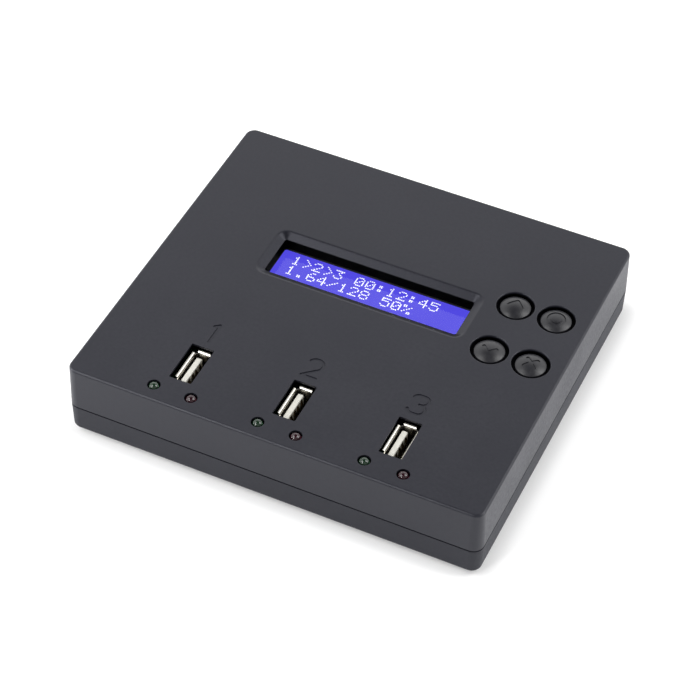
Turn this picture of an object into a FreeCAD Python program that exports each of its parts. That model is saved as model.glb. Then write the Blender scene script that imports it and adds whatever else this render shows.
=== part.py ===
import FreeCAD, Part
import math
import os

from FreeCAD import Vector

# A desk unit that copies flash drives: two moulded covers, one circuit board, three upright sockets,
# six lamps, a two-line character display and four push buttons.
# Millimetres. X runs right along the socket row, Y to the back, Z up. The origin is under the middle, on the
# plane that the feet stand on.

# Case
CASE_WIDTH = 136.0
CASE_DEPTH = 124.0
CORNER_RADIUS = 3.5
DRAFT = 0.3
FOOT_HEIGHT = 1.5
JOINT_Z = 11.3
ROOF_Z = 26.6
WALL = 2.2
ROOF = 2.2
FLOOR = 2.0
TOP_EDGE_ROUND = 0.8
BOTTOM_EDGE_ROUND = 1.0
REVEAL = 0.5
LIP_HEIGHT = 2.0
LIP_THICKNESS = 1.0
LIP_CLEARANCE = 0.1
REBATE_SPARE = 0.2

# Case posts and screws
POST_X = 58.5
POST_Y = 52.5
POST_RADIUS = 4.2
BOSS_RADIUS = 3.6
POST_TOP = 11.0
HEAD_SEAT_Z = 5.5
COUNTERBORE_RADIUS = 3.1
CLEARANCE_RADIUS = 1.7
PILOT_RADIUS = 1.52
PILOT_TOP = 21.0
SCREW_RADIUS = 1.5
SCREW_LENGTH = 12.0
HEAD_RADIUS = 2.8
HEAD_HEIGHT = 2.0
HEAD_ROUND = 0.6
HEAD_RECESS = 1.1
RECESS_CROSS = (0.6, 2.8)

# Feet and the bare panel on the underside
FOOT_X = 48.0
FOOT_Y = 43.0
FOOT_RADIUS = 5.0
FOOT_RECESS = 0.5
FOOT_ROUND = 0.4
FOOT_CLEARANCE = 0.2
PANEL_SIZE = (60.0, 36.0)
PANEL_DEPTH = 0.3
PANEL_CORNER = 2.0

# Main board
BOARD_TOP = JOINT_Z
BOARD_THICKNESS = 1.6
BOARD_BASE = BOARD_TOP - BOARD_THICKNESS
BOARD_WIDTH = 124.8
BOARD_DEPTH = 116.8
BOARD_NOTCH = 10.8
BOARD_POSTS = [(-56.5, -30.0), (56.5, -30.0), (-56.5, 36.0), (56.5, 42.0)]
BOARD_POST_RADIUS = 3.2
BOARD_PILOT_RADIUS = 1.27
BOARD_PILOT_FLOOR = 0.5
BOARD_HOLE_SPARE = 0.25
BOARD_SCREW_RADIUS = 1.25
BOARD_SCREW_LENGTH = 6.0
BOARD_HEAD_RADIUS = 2.4
BOARD_HEAD_HEIGHT = 1.6
BOARD_HEAD_ROUND = 0.5
BOARD_HEAD_RECESS = 0.9

# Sockets in the row along the front
PORT_PITCH = 34.4
PORT_SHIFT = -0.2
PORT_Y = -43.4
PORTS = [PORT_SHIFT - PORT_PITCH, PORT_SHIFT, PORT_SHIFT + PORT_PITCH]
PORT_OPENING = (7.5, 15.3)
PORT_POCKET = (10.0, 18.0)
PORT_ROOF = 1.0
PORT_CORNER = 0.4
POCKET_CORNER = 1.0
SOCKET_PITCH = 34.1
SOCKET_SHIFT = 0.3
SOCKETS = [SOCKET_SHIFT - SOCKET_PITCH, SOCKET_SHIFT, SOCKET_SHIFT + SOCKET_PITCH]
SOCKET_MOUTH_Z = ROOF_Z - 1.3
SHELL_INNER = (5.12, 12.5)
SHELL_SHEET = 0.3
SHELL_CORNER = 0.3
SHELL_LEG = (1.8, 1.0, 1.2)
SHELL_LEG_HOLE = 0.8
FINGER_WINDOW = (2.6, 18.0, 22.5)
FINGER_WIDTH = 2.0
FINGER_Y = 3.0
FINGER_BEND = 0.4
FINGER_SHEET = 0.25
FINGER_Z = (22.6, 19.2, 18.4)
LIP_BEND = 0.55
LONG_LIP = 11.2
SHORT_LIP = 4.0
TONGUE_THICKNESS = 1.84
TONGUE_WIDTH = 11.1
TONGUE_TIP_Z = SOCKET_MOUTH_Z - 1.4
TONGUE_GAP = 0.67
TONGUE_CORNER = 0.7
TONGUE_TIP_ROUND = 0.35
GROOVE = (0.6, 1.2)
GROOVE_CENTRE = 0.1
GROOVE_END = 0.5
CONTACT_SLOT = (0.45, 0.9)
SOCKET_BASE_HEIGHT = 2.0
SOCKET_BASE_TOP = BOARD_TOP + SOCKET_BASE_HEIGHT
SOCKET_BASE_FIT = 0.1
SOCKET_BASE_CORNER = 0.4
CONTACT_Y = [-3.5, -1.0, 1.0, 3.5]
CONTACT_SHEET = 0.25
CONTACT_WIDTH = 1.0
CONTACT_TAIL = (0.6, 1.4)
CONTACT_HOLE = 0.5
CONTACT_BOW = [(0, SOCKET_BASE_TOP), (0, 17.0), (0.6, 21.0), (0.45, 21.8), (-0.1, 23.2)]

# Numerals sunk behind the sockets
NUMERAL_HEIGHT = 8.6
NUMERAL_WIDTH = 5.8
NUMERAL_STROKE = 1.0
NUMERAL_DEPTH = 0.25
NUMERAL_Y = -33.45
NUMERAL_SHIFT = -0.55

# Lamps in front of the sockets
LAMP_Y = -56.0
LAMP_PITCH = 34.5
LAMP_OFFSET = 6.2
LAMP_HOLE_RADIUS = 2.05
LAMP_RADIUS = 1.8
LAMP_TOP_Z = ROOF_Z + 0.45
LAMP_LENGTH = 5.3
LAMP_FLANGE_RADIUS = 2.0
LAMP_FLANGE_HEIGHT = 0.8
LEAD_SIZE = 0.5
LEAD_PITCH = 2.54
LEAD_BORE = 0.45
LEAD_HOLE = 0.5
LEAD_TAIL = 1.5

# Buttons in a square at the right
BUTTON_X = [43.8, 57.3]
BUTTON_Y = [22.1, 1.2]
BUTTON_HOLE_RADIUS = 6.0
BUTTON_HOLE_ROUND = 0.3
CAP_RADIUS = 4.85
CAP_RIM_Z = ROOF_Z - 0.7
CAP_CROWN = 1.3
CAP_BASE_Z = 22.4
CAP_EDGE_ROUND = 0.3
MARK_DEPTH = 0.25
MARK_STROKE = 1.1
RING_MARK_RADIUS = 2.4
EAR_REACH = 7.3
EAR_WIDTH = 3.6
EAR_TOP_Z = 24.2
EAR_GAP = (0.2, 0.3)
CHEVRON = (2.1, 2.0)
CHEVRON_UP_Y = -0.3
CHEVRON_DOWN_Y = 0.6
CHEVRON_DOWN_DEPTH = 2.3
CROSS_REACH = 1.7
CAP_WALL = 1.0
CAP_HOLLOW_TOP = 23.6
CAP_FOOT_RADIUS = 2.2
GUIDE_INNER = 5.1
GUIDE_OUTER = 6.6
GUIDE_BASE_Z = 21.9
PLUNGER_RADIUS = 1.75
PLUNGER_TOP_Z = BOARD_TOP + 10.0
PLUNGER_FOOT = (2.3, 0.9)
SWITCH_SIZE = 6.0
SWITCH_BODY_HEIGHT = 3.2
SWITCH_SHEET = 0.3
SWITCH_FLOOR = 0.7
DOME_RISE = 1.0
DOME_RADIUS = 2.4
DOME_SHEET = 0.12
SWITCH_CORNER = 0.4
SWITCH_CLEARANCE = 0.15
SWITCH_TAB = (3.0, 1.8)
TERMINAL = (0.3, 0.7)
TERMINAL_Z = (BOARD_BASE - 1.5, BOARD_TOP + 0.6)
TERMINAL_PLACE = (SWITCH_SIZE / 2 + 0.25, 2.25)
TERMINAL_HOLE = 0.5

# Display window and module
WINDOW_CENTRE = (-1.15, 11.55)
WINDOW_SIZE = (65.3, 15.6)
WINDOW_CORNER = 0.8
BEVEL_WIDTH = 2.6
BEVEL_DEPTH = 1.4
BEVEL_ROUND = 1.5
WELL_WALL = 1.6
WELL_GAP = 0.05
BEZEL_TOP_Z = ROOF_Z - 5.1
DISPLAY_CENTRE = (-0.8, 12.9)
BEZEL_SIZE = (71.2, 20.2)
BEZEL_SHEET = 0.35
BEZEL_CORNER = 0.8
BEZEL_ROUND = 0.3
BEZEL_TAB_X = (-28.0, 0.0, 28.0)
BEZEL_TAB_WIDTH = 2.0
BEZEL_TAB_SLOT = (2.4, 1.0)
BEZEL_TAB_REACH = 0.8
VIEW_SIZE = (65.8, 12.1)
VIEW_CORNER = 0.8
DISPLAY_BOARD_SIZE = (80.0, 36.0)
HEADER_HEIGHT = 2.5
DISPLAY_BOARD_Z = BOARD_TOP + HEADER_HEIGHT
DISPLAY_BOARD_TOP = DISPLAY_BOARD_Z + BOARD_THICKNESS
FRONT_GLASS = (67.0, 17.6, 1.1)
REAR_GLASS = (67.0, 14.0, 1.1)
BACKLIGHT = (66.0, 13.6)
ZEBRA_WIDTH = 1.5
SUPPORT_SPACING = (75.0, 31.0)
SUPPORT_RADIUS = 2.4
SUPPORT_PEG = (1.2, 1.6)
SUPPORT_HOLE = 1.35
BARB_RADII = (1.7, 0.9)
BARB_LENGTH = 1.3
BARB_GAP = 0.1
BLOB_X = (-13.0, 13.0)
BLOB_RADIUS = 4.5
BLOB_DROP = 1.2
HEADER_PINS = 16
HEADER_PITCH = 2.54
HEADER_OFFSET = (-32.0, 15.5)
PIN_SIZE = 0.64
PIN_HOLE = 0.5
PIN_TAILS = (1.3, 1.5)

# Power inlet at the back
INLET_X = -44.0
INLET_SIZE = (9.0, 14.2, 11.0)
INLET_FACE_Y = 59.3
INLET_BORE_Z = BOARD_TOP + 6.4
INLET_BORE_RADIUS = 3.2
INLET_BORE_DEPTH = 10.0
INLET_PIN_RADIUS = 1.0
INLET_PIN_LENGTH = 9.0
INLET_RIVET_RADIUS = 0.8
INLET_HOLE_RADIUS = 5.2
INLET_CORNER = 1.5
INLET_PIN_ROUND = 0.3
INLET_RIVET_TAIL = 0.6
INLET_TAIL = (1.2, 0.6)
INLET_TAIL_Z = (BOARD_BASE - 1.6, BOARD_TOP + 1.0)
INLET_TAIL_BORE = (0.85, 1.2)
INLET_TAIL_HOLE = 0.9
INLET_TAIL_PLACES = [(0.0, 0.8), (0.0, 6.8), (3.6, 3.8)]

# Chips and the other parts on the main board
CONTROLLER = ((2.0, -19.0), 14.0, 1.4)
CONTROLLER_LEADS = 14
MEMORY = ((26.0, -19.0), 10.0, 1.2)
MEMORY_LEADS = 10
CHIP_GAP = 0.1
DIMPLE_PLACE = 1.2
DIMPLE_RADIUS = 0.5
DIMPLE_DEPTH = 0.15
CHIP_LEAD_PITCH = 0.8
CHIP_LEAD = (0.35, 1.0, 0.2)
CRYSTAL_PLACE = (-14.0, -20.0)
CRYSTAL_SIZE = (11.0, 4.6)
CRYSTAL_HEIGHT = 3.4
CRYSTAL_CORNER = 2.2
CAN_ROUND = 0.4
LARGE_CAN = (3.15, 7.0)
SMALL_CAN = (2.5, 5.4)
LARGE_CAN_PLACES = [(-27.0, 51.0), (-17.0, 51.0)]
SMALL_CAN_PLACES = [(17.2, -33.0), (-17.0, -33.0)]
CRIMP_RADIUS = 0.4
CRIMP_OFFSET = 0.15
CRIMP_Z = 1.4

# How far a cut runs past the piece that it cuts, and how near two lengths count as the same
PAST = 1.0
SAME = 1e-4

os.makedirs("parts", exist_ok=True)


def save(node, *solids):
    """Writes one node, as one solid or as a group of separate ones."""
    shape = solids[0] if len(solids) == 1 else Part.makeCompound(list(solids))
    shape.exportStep(f"parts/{node}.step")


def block(x, y, z):
    """A box between a low and a high value along each axis."""
    low = Vector(x[0], y[0], z[0])
    return Part.makeBox(x[1] - x[0], y[1] - y[0], z[1] - z[0], low)


def block_on(centre, size, z):
    """A box of a width and a depth, centred on a point of the plan."""
    half_x, half_y = size[0] / 2, size[1] / 2
    return block(
        (centre[0] - half_x, centre[0] + half_x),
        (centre[1] - half_y, centre[1] + half_y),
        z,
    )


def rod(centre, radius, z):
    """An upright cylinder."""
    return Part.makeCylinder(radius, z[1] - z[0], Vector(centre[0], centre[1], z[0]))


def rod_along_y(x, z, radius, y):
    """A cylinder that lies along Y."""
    return Part.makeCylinder(radius, y[1] - y[0], Vector(x, y[0], z), Vector(0, 1, 0))


def prism(points, along):
    """A flat outline pushed along a vector."""
    return Part.Face(Part.makePolygon(points + [points[0]])).extrude(along)


def joined(shapes):
    """Several overlapping solids made one."""
    whole = shapes[0].fuse(shapes[1:]) if len(shapes) > 1 else shapes[0]
    return whole.removeSplitter()


def same(first, second):
    return abs(first - second) < SAME


def edges_at(shape, z, keep=None):
    """The edges that lie wholly at one height."""
    boxes = [(e, e.BoundBox) for e in shape.Edges]
    level = [e for e, box in boxes if same(box.ZMin, z) and same(box.ZMax, z)]
    return [e for e in level if keep is None or keep(e)]


def edges_along_y(shape, y):
    """The edges that lie wholly at one depth."""
    boxes = [(e, e.BoundBox) for e in shape.Edges]
    return [e for e, box in boxes if same(box.YMin, y) and same(box.YMax, y)]


def slab(size, radius, z, inset=0.0, centre=(0.0, 0.0)):
    """A rounded rectangle that rises from size, its sides leaning in by inset at the top."""
    core_x, core_y = size[0] / 2 - radius, size[1] / 2 - radius
    reach = radius - inset
    low, high = z
    side = prism(
        [
            Vector(-core_x - radius, -core_y, low),
            Vector(core_x + radius, -core_y, low),
            Vector(core_x + reach, -core_y, high),
            Vector(-core_x - reach, -core_y, high),
        ],
        Vector(0, 2 * core_y, 0),
    )
    front = prism(
        [
            Vector(-core_x, -core_y - radius, low),
            Vector(-core_x, core_y + radius, low),
            Vector(-core_x, core_y + reach, high),
            Vector(-core_x, -core_y - reach, high),
        ],
        Vector(2 * core_x, 0, 0),
    )
    corners = []
    for x in (-core_x, core_x):
        for y in (-core_y, core_y):
            foot = Vector(x, y, low)
            if inset == 0.0:
                corners.append(Part.makeCylinder(radius, high - low, foot))
            else:
                corners.append(Part.makeCone(radius, reach, high - low, foot))
    whole = joined([side, front] + corners)
    whole.translate(Vector(centre[0], centre[1], 0))
    return whole


def four(x, y):
    """The four corners of a rectangle about the origin."""
    return [(i * x, j * y) for i in (-1, 1) for j in (-1, 1)]


def cross_recess(centre, z, depth):
    """The cross slot sunk in a screw's head, from one height down or up to another."""
    across, along = RECESS_CROSS
    span = (min(z, z + depth), max(z, z + depth))
    return joined([block_on(centre, (across, along), span), block_on(centre, (along, across), span)])


def stroke(start, end, width, z):
    """A straight stroke with round ends."""
    dx, dy = end[0] - start[0], end[1] - start[1]
    length = math.hypot(dx, dy)
    bar = block((0, length), (-width / 2, width / 2), z)
    bar.rotate(Vector(0, 0, 0), Vector(0, 0, 1), math.degrees(math.atan2(dy, dx)))
    bar.translate(Vector(start[0], start[1], 0))
    return joined([bar, rod(start, width / 2, z), rod(end, width / 2, z)])


def arc_stroke(centre, radius, width, angles, z):
    """A curved stroke with round ends, from one angle round to another in degrees."""
    start, end = angles
    foot = Vector(centre[0], centre[1], z[0])
    height = z[1] - z[0]
    outer = Part.makeCylinder(radius + width / 2, height, foot, Vector(0, 0, 1), end - start)
    outer.rotate(foot, Vector(0, 0, 1), start)
    ring = outer.cut(Part.makeCylinder(radius - width / 2, height, foot))
    ends = []
    for angle in angles:
        a = math.radians(angle)
        tip = (centre[0] + radius * math.cos(a), centre[1] + radius * math.sin(a))
        ends.append(rod(tip, width / 2, z))
    return joined([ring] + ends)


def numeral_strokes(figure, z):
    """The figures 1, 2 and 3 in single strokes, in a box that starts at the origin."""
    w, h, s = NUMERAL_WIDTH - NUMERAL_STROKE, NUMERAL_HEIGHT - NUMERAL_STROKE, NUMERAL_STROKE
    if figure == 1:
        stem = w / 2 + 1.0
        flag = (stem - 1.4, h - 1.1)
        return joined([stroke((stem, 0), (stem, h), s, z), stroke(flag, (stem, h), s, z)])
    if figure == 2:
        bow = 0.5 * w
        hook = arc_stroke((bow, h - bow), bow, s, (-38, 150), z)
        a = math.radians(-38)
        knee = (bow + bow * math.cos(a), h - bow + bow * math.sin(a))
        return joined([hook, stroke(knee, (0, 0), s, z), stroke((0, 0), (w, 0), s, z)])
    upper, lower = 0.24 * h, 0.26 * h
    left, right = w / 2 - 0.7, w / 2 + 0.7
    return joined(
        [
            arc_stroke((left, h - upper), upper, s, (90, 160), z),
            stroke((left, h), (right, h), s, z),
            arc_stroke((right, h - upper), upper, s, (-90, 90), z),
            stroke((w / 2 + 0.3, 2 * lower), (right, 2 * lower), s, z),
            arc_stroke((right, lower), lower, s, (-90, 90), z),
            stroke((left, 0), (right, 0), s, z),
            arc_stroke((left, lower), lower, s, (200, 270), z),
        ]
    )


def numeral(figure, x):
    strokes = numeral_strokes(figure, (ROOF_Z - NUMERAL_DEPTH, ROOF_Z + PAST))
    edge = NUMERAL_STROKE / 2
    strokes.translate(Vector(x + NUMERAL_SHIFT - NUMERAL_WIDTH / 2 + edge, NUMERAL_Y + edge, 0))
    return strokes


def lamp_places():
    """Plan positions of the lamps: green at the left of each socket, red at the right."""
    row = [-LAMP_PITCH, 0.0, LAMP_PITCH]
    return {
        "green": [(x - LAMP_OFFSET, LAMP_Y) for x in row],
        "red": [(x + LAMP_OFFSET, LAMP_Y) for x in row],
    }


def button_places():
    return {
        "up": (BUTTON_X[0], BUTTON_Y[0]),
        "select": (BUTTON_X[1], BUTTON_Y[0]),
        "down": (BUTTON_X[0], BUTTON_Y[1]),
        "cancel": (BUTTON_X[1], BUTTON_Y[1]),
    }


LAMPS = lamp_places()
BUTTONS = button_places()


def button_guide(place):
    """A ring under the roof that guides one button cap, slotted for its two ears."""
    z = (GUIDE_BASE_Z, ROOF_Z - ROOF + PAST)
    ring = rod(place, GUIDE_OUTER, z).cut(rod(place, GUIDE_INNER, (GUIDE_BASE_Z - PAST, ROOF_Z)))
    slot_size = (EAR_WIDTH + 2 * EAR_GAP[0], 2 * EAR_REACH + 2 * EAR_GAP[1])
    return ring.cut(block_on(place, slot_size, (GUIDE_BASE_Z - PAST, ROOF_Z - ROOF)))


def window_well():
    """The wall that stands down round the display window."""
    size = (WINDOW_SIZE[0] + 2 * WELL_WALL, WINDOW_SIZE[1] + 2 * WELL_WALL)
    z = (BEZEL_TOP_Z + WELL_GAP, ROOF_Z - ROOF + PAST)
    return slab(size, WINDOW_CORNER + WELL_WALL, z, 0.0, WINDOW_CENTRE)


def window_opening():
    """The see-through window and the bevel that leads down to it."""
    bevel_z = ROOF_Z - BEVEL_DEPTH
    opening = slab(WINDOW_SIZE, WINDOW_CORNER, (BEZEL_TOP_Z - PAST, ROOF_Z), 0.0, WINDOW_CENTRE)
    bevel = slab(WINDOW_SIZE, WINDOW_CORNER, (bevel_z, ROOF_Z), -BEVEL_WIDTH, WINDOW_CENTRE)
    return joined([opening, bevel])


def is_button_rim(edge):
    return hasattr(edge.Curve, "Radius") and same(edge.Curve.Radius, BUTTON_HOLE_RADIUS)


def is_bevel_rim(edge):
    """True for the bevel's outer edge, the only edges of the roof so near the middle of the window."""
    middle = edge.CenterOfMass - Vector(WINDOW_CENTRE[0], WINDOW_CENTRE[1], ROOF_Z)
    reach_x = WINDOW_SIZE[0] / 2 + BEVEL_WIDTH + SAME
    reach_y = WINDOW_SIZE[1] / 2 + BEVEL_WIDTH + SAME
    return abs(middle.x) < reach_x and abs(middle.y) < reach_y


def upper_shell():
    """Roof and upper walls as a plain hollow moulding."""
    shell = slab((CASE_WIDTH, CASE_DEPTH), CORNER_RADIUS, (JOINT_Z, ROOF_Z), DRAFT)
    shell = shell.makeFillet(TOP_EDGE_ROUND, edges_at(shell, ROOF_Z))
    inside = (CASE_WIDTH - 2 * WALL, CASE_DEPTH - 2 * WALL)
    cavity = slab(inside, CORNER_RADIUS - WALL, (JOINT_Z, ROOF_Z - ROOF), DRAFT)
    rebate_gap = WALL - LIP_THICKNESS - LIP_CLEARANCE
    rebate_size = (CASE_WIDTH - 2 * rebate_gap, CASE_DEPTH - 2 * rebate_gap)
    rebate = slab(rebate_size, CORNER_RADIUS - rebate_gap, (JOINT_Z, JOINT_Z + LIP_HEIGHT + REBATE_SPARE))
    return shell.cut(cavity).cut(rebate)


def inlet_opening():
    """The round hole over the inlet, half in each cover."""
    y = (INLET_FACE_Y - PAST, CASE_DEPTH / 2 + PAST)
    return rod_along_y(INLET_X, INLET_BORE_Z, INLET_HOLE_RADIUS, y)


def top_cover():
    through_roof = (ROOF_Z - ROOF - PAST, ROOF_Z + PAST)
    bosses = [rod(p, BOSS_RADIUS, (POST_TOP, ROOF_Z - ROOF + PAST)) for p in four(POST_X, POST_Y)]
    guides = [button_guide(p) for p in BUTTONS.values()]
    cover = joined([upper_shell(), window_well()] + bosses + guides)
    holes = [window_opening()]
    holes += [rod(p, PILOT_RADIUS, (POST_TOP - PAST, PILOT_TOP)) for p in four(POST_X, POST_Y)]
    holes += [rod(p, BUTTON_HOLE_RADIUS, (ROOF_Z - ROOF, ROOF_Z + PAST)) for p in BUTTONS.values()]
    for places in LAMPS.values():
        holes += [rod(p, LAMP_HOLE_RADIUS, through_roof) for p in places]
    for figure, x in enumerate(PORTS, start=1):
        centre = (x, PORT_Y)
        pocket_z = (ROOF_Z - ROOF - PAST, ROOF_Z - PORT_ROOF)
        holes.append(slab(PORT_OPENING, PORT_CORNER, through_roof, 0.0, centre))
        holes.append(slab(PORT_POCKET, POCKET_CORNER, pocket_z, 0.0, centre))
        holes.append(numeral(figure, x))
    holes.append(inlet_opening())
    cover = cover.cut(holes)
    cover = cover.makeFillet(BUTTON_HOLE_ROUND, edges_at(cover, ROOF_Z, is_button_rim))
    return cover.makeFillet(BEVEL_ROUND, edges_at(cover, ROOF_Z, is_bevel_rim))


def lower_shell():
    """Floor and lower walls as a plain tray, with the lip that enters the top cover."""
    top = JOINT_Z - REVEAL
    base = (CASE_WIDTH - 2 * DRAFT, CASE_DEPTH - 2 * DRAFT)
    tray = slab(base, CORNER_RADIUS - DRAFT, (FOOT_HEIGHT, top), -DRAFT)
    tray = tray.makeFillet(BOTTOM_EDGE_ROUND, edges_at(tray, FOOT_HEIGHT))
    inside = (CASE_WIDTH - 2 * WALL, CASE_DEPTH - 2 * WALL)
    lip_gap = WALL - LIP_THICKNESS
    lip_size = (CASE_WIDTH - 2 * lip_gap, CASE_DEPTH - 2 * lip_gap)
    lip = slab(lip_size, CORNER_RADIUS - lip_gap, (top - PAST, JOINT_Z + LIP_HEIGHT))
    cavity = slab(inside, CORNER_RADIUS - WALL, (FOOT_HEIGHT + FLOOR, JOINT_Z + LIP_HEIGHT + PAST))
    return joined([tray, lip]).cut(cavity)


def bottom_cover():
    floor_z = FOOT_HEIGHT + FLOOR - PAST / 2
    posts = [rod(p, POST_RADIUS, (floor_z, POST_TOP)) for p in four(POST_X, POST_Y)]
    posts += [rod(p, BOARD_POST_RADIUS, (floor_z, BOARD_BASE)) for p in BOARD_POSTS]
    cover = joined([lower_shell()] + posts)
    below = FOOT_HEIGHT - PAST
    holes = []
    for p in four(POST_X, POST_Y):
        holes.append(rod(p, CLEARANCE_RADIUS, (below, POST_TOP + PAST)))
        holes.append(rod(p, COUNTERBORE_RADIUS, (below, HEAD_SEAT_Z)))
    pilot_z = (FOOT_HEIGHT + FLOOR + BOARD_PILOT_FLOOR, BOARD_BASE + PAST)
    holes += [rod(p, BOARD_PILOT_RADIUS, pilot_z) for p in BOARD_POSTS]
    seat_z = (below, FOOT_HEIGHT + FOOT_RECESS)
    holes += [rod(p, FOOT_RADIUS + FOOT_CLEARANCE, seat_z) for p in four(FOOT_X, FOOT_Y)]
    holes.append(slab(PANEL_SIZE, PANEL_CORNER, (below, FOOT_HEIGHT + PANEL_DEPTH)))
    holes.append(inlet_opening())
    return cover.cut(holes)


def rubber_foot(place):
    foot = rod(place, FOOT_RADIUS, (0, FOOT_HEIGHT + FOOT_RECESS))
    return foot.makeFillet(FOOT_ROUND, edges_at(foot, 0))


def case_screw(place):
    """A pan head below and a shank up into the top cover's post."""
    head = rod(place, HEAD_RADIUS, (HEAD_SEAT_Z - HEAD_HEIGHT, HEAD_SEAT_Z))
    head = head.makeFillet(HEAD_ROUND, edges_at(head, HEAD_SEAT_Z - HEAD_HEIGHT))
    shank = rod(place, SCREW_RADIUS, (HEAD_SEAT_Z, HEAD_SEAT_Z + SCREW_LENGTH))
    return joined([head, shank]).cut(cross_recess(place, HEAD_SEAT_Z - HEAD_HEIGHT, HEAD_RECESS))


def board_screw(place):
    head = rod(place, BOARD_HEAD_RADIUS, (BOARD_TOP, BOARD_TOP + BOARD_HEAD_HEIGHT))
    head = head.makeFillet(BOARD_HEAD_ROUND, edges_at(head, BOARD_TOP + BOARD_HEAD_HEIGHT))
    shank = rod(place, BOARD_SCREW_RADIUS, (BOARD_TOP - BOARD_SCREW_LENGTH, BOARD_TOP))
    return joined([head, shank]).cut(cross_recess(place, BOARD_TOP + BOARD_HEAD_HEIGHT, -BOARD_HEAD_RECESS))


def support_places():
    corners = four(SUPPORT_SPACING[0] / 2, SUPPORT_SPACING[1] / 2)
    return [(DISPLAY_CENTRE[0] + x, DISPLAY_CENTRE[1] + y) for x, y in corners]


def header_places():
    first_x = DISPLAY_CENTRE[0] + HEADER_OFFSET[0]
    y = DISPLAY_CENTRE[1] + HEADER_OFFSET[1]
    return [(first_x + i * HEADER_PITCH, y) for i in range(HEADER_PINS)]


def lead_places():
    """Where the lamps' leads pass through the board, two to a lamp."""
    lamps = LAMPS["green"] + LAMPS["red"]
    return [(x + side * LEAD_PITCH / 2, y) for x, y in lamps for side in (-1, 1)]


def terminal_places():
    """Where the switches' terminals pass through the board, four to a switch."""
    return [(x + i, y + j) for x, y in BUTTONS.values() for i, j in four(*TERMINAL_PLACE)]


def shell_leg_places(x):
    corners = four(SHELL_LEG[0], (SHELL_INNER[1] + SHELL_SHEET) / 2)
    return [(x + i, PORT_Y + j) for i, j in corners]


def tongue_face(x):
    """The face of the tongue that carries the contacts."""
    return x - SHELL_INNER[0] / 2 + TONGUE_GAP + TONGUE_THICKNESS


def inlet_tail_places():
    """The inlet's three terminals: at its back, under its middle and at one side."""
    back = INLET_FACE_Y - INLET_SIZE[1]
    return [(INLET_X + x, back + y) for x, y in INLET_TAIL_PLACES]


def main_board():
    board = block_on((0, 0), (BOARD_WIDTH, BOARD_DEPTH), (BOARD_BASE, BOARD_TOP))
    notch = (2 * BOARD_NOTCH, 2 * BOARD_NOTCH)
    z = (BOARD_BASE - PAST, BOARD_TOP + PAST)
    holes = [block_on(p, notch, z) for p in four(BOARD_WIDTH / 2, BOARD_DEPTH / 2)]
    holes += [rod(p, BOARD_SCREW_RADIUS + BOARD_HOLE_SPARE, z) for p in BOARD_POSTS]
    holes += [rod(p, SUPPORT_HOLE, z) for p in support_places()]
    holes += [rod(p, PIN_HOLE, z) for p in header_places()]
    holes += [rod(p, LEAD_HOLE, z) for p in lead_places()]
    holes += [rod(p, TERMINAL_HOLE, z) for p in terminal_places()]
    holes += [rod(p, INLET_TAIL_HOLE, z) for p in inlet_tail_places()]
    for x in SOCKETS:
        row_x = tongue_face(x) - CONTACT_SHEET / 2
        holes += [rod(p, SHELL_LEG_HOLE, z) for p in shell_leg_places(x)]
        holes += [rod((row_x, PORT_Y + y), CONTACT_HOLE, z) for y in CONTACT_Y]
    return board.cut(holes)


def long_lip(x, side):
    """A flared lip on a long wall of the shell: the sheet bends a quarter turn outward."""
    wall = x + side * SHELL_INNER[0] / 2
    bend_x = wall + side * (SHELL_SHEET + LIP_BEND)
    bend_z = SOCKET_MOUTH_Z - LIP_BEND - SHELL_SHEET
    y = (PORT_Y - LONG_LIP / 2, PORT_Y + LONG_LIP / 2)
    roll = rod_along_y(bend_x, bend_z, LIP_BEND + SHELL_SHEET, y)
    roll = roll.cut(rod_along_y(bend_x, bend_z, LIP_BEND, (y[0] - PAST, y[1] + PAST)))
    x_span = (min(wall, bend_x), max(wall, bend_x))
    return roll.common(block(x_span, y, (bend_z, SOCKET_MOUTH_Z)))


def short_lip(x, side):
    wall = PORT_Y + side * SHELL_INNER[1] / 2
    bend_y = wall + side * (SHELL_SHEET + LIP_BEND)
    bend_z = SOCKET_MOUTH_Z - LIP_BEND - SHELL_SHEET
    low = x - SHORT_LIP / 2

    def roll_of(radius):
        return Part.makeCylinder(radius, SHORT_LIP, Vector(low, bend_y, bend_z), Vector(1, 0, 0))

    roll = roll_of(LIP_BEND + SHELL_SHEET).cut(roll_of(LIP_BEND))
    y_span = (min(wall, bend_y), max(wall, bend_y))
    return roll.common(block((low, low + SHORT_LIP), y_span, (bend_z, SOCKET_MOUTH_Z)))


def spring_finger(x, y, side):
    """A finger of the shell's long wall, bent in to grip the plug."""
    wall = x + side * SHELL_INNER[0] / 2
    inward, sheet = -side * FINGER_BEND, side * FINGER_SHEET
    top, nip, tip = FINGER_Z
    low = y - FINGER_WIDTH / 2
    return prism(
        [
            Vector(wall, low, top),
            Vector(wall + inward, low, nip),
            Vector(wall, low, tip),
            Vector(wall + sheet, low, tip),
            Vector(wall + inward + sheet, low, nip),
            Vector(wall + sheet, low, top),
        ],
        Vector(0, FINGER_WIDTH, 0),
    )


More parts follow.
